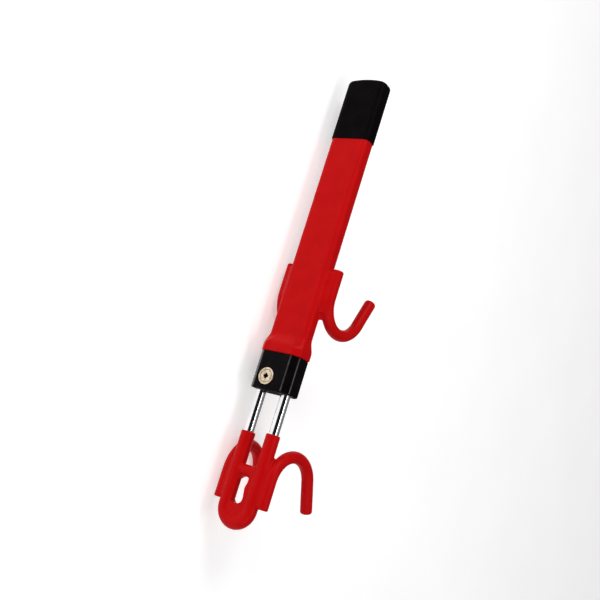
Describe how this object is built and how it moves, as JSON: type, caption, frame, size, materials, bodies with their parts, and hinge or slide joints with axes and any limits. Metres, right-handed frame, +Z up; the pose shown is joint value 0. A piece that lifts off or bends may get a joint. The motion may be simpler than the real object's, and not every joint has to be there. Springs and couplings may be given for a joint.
{
  "type": "steering wheel lock",
  "caption": "Telescopic steering wheel lock: flat coated handle, key-locked body, sliding U-shaped bar and two pairs of rod hooks that open away from each other.",
  "frame": {"origin": "middle of the lock's box at its base: the lock lies on its left side, on the left-hand hooks", "axes": "+X along the bars towards the U-shaped head, the way the bar slides out; -Y out of the key face; +Z up, out of the lock's right side"},
  "size_m": [0.4588, 0.089, 0.0766],
  "materials": {
    "chrome": "bright chrome plate",
    "steel": "plain",
    "brass": "pale, machined",
    "red_vinyl": "dipped vinyl, satin",
    "black_paint": "semi-gloss black",
    "black_rubber": "matt",
    "black_nylon": "matt"
  },
  "bodies": {
    "handle": {"handle_tube": "steel", "handle_coat": "red_vinyl", "grip_cap": "black_rubber", "tube_end_plug": "black_nylon", "lock_body": "black_paint", "back_cover": "black_paint", "cover_screw_1": "steel", "cover_screw_2": "steel", "body_pin_1": "steel", "body_pin_2": "steel", "cylinder_housing": "brass", "housing_pin": "steel", "driver_pin_1": "brass", "driver_pin_2": "brass", "driver_pin_3": "brass", "driver_pin_4": "brass", "bolt_spring": "steel", "wiper_right": "black_nylon", "wiper_left": "black_nylon", "upper_hook_right": "steel", "upper_hook_right_coat": "red_vinyl", "upper_hook_left": "steel", "upper_hook_left_coat": "red_vinyl"},
    "bar": {"u_bar": "chrome", "u_bar_coat": "red_vinyl", "stop_plate": "steel", "crossbar": "steel", "crossbar_coat": "red_vinyl", "lower_hook_right": "steel", "lower_hook_right_coat": "red_vinyl", "lower_hook_left": "steel", "lower_hook_left_coat": "red_vinyl"},
    "plug": {"key_plug": "brass", "plug_clip": "steel"},
    "bolt": {"locking_bolt": "steel"}
  },
  "joints": [
    {"name": "bar_slide", "type": "slide", "parent": "handle", "child": "bar", "axis": [1, 0, 0], "range_m": [-0.0375, 0.2]},
    {"name": "key_turn", "type": "hinge", "parent": "handle", "child": "plug", "pos_m": [0.08725, -0.03974, 0.03399], "axis": [0, 1, 0], "range_deg": [0, 90]},
    {"name": "bolt_slide", "type": "slide", "parent": "handle", "child": "bolt", "axis": [0, 0, 1], "range_m": [0, 0.0026], "deforming": ["bolt_spring"]}
  ],
  "couplings": [
    {"joint": "bolt_slide", "follows": "key_turn", "m_per_rad": 0.0016206}
  ]
}
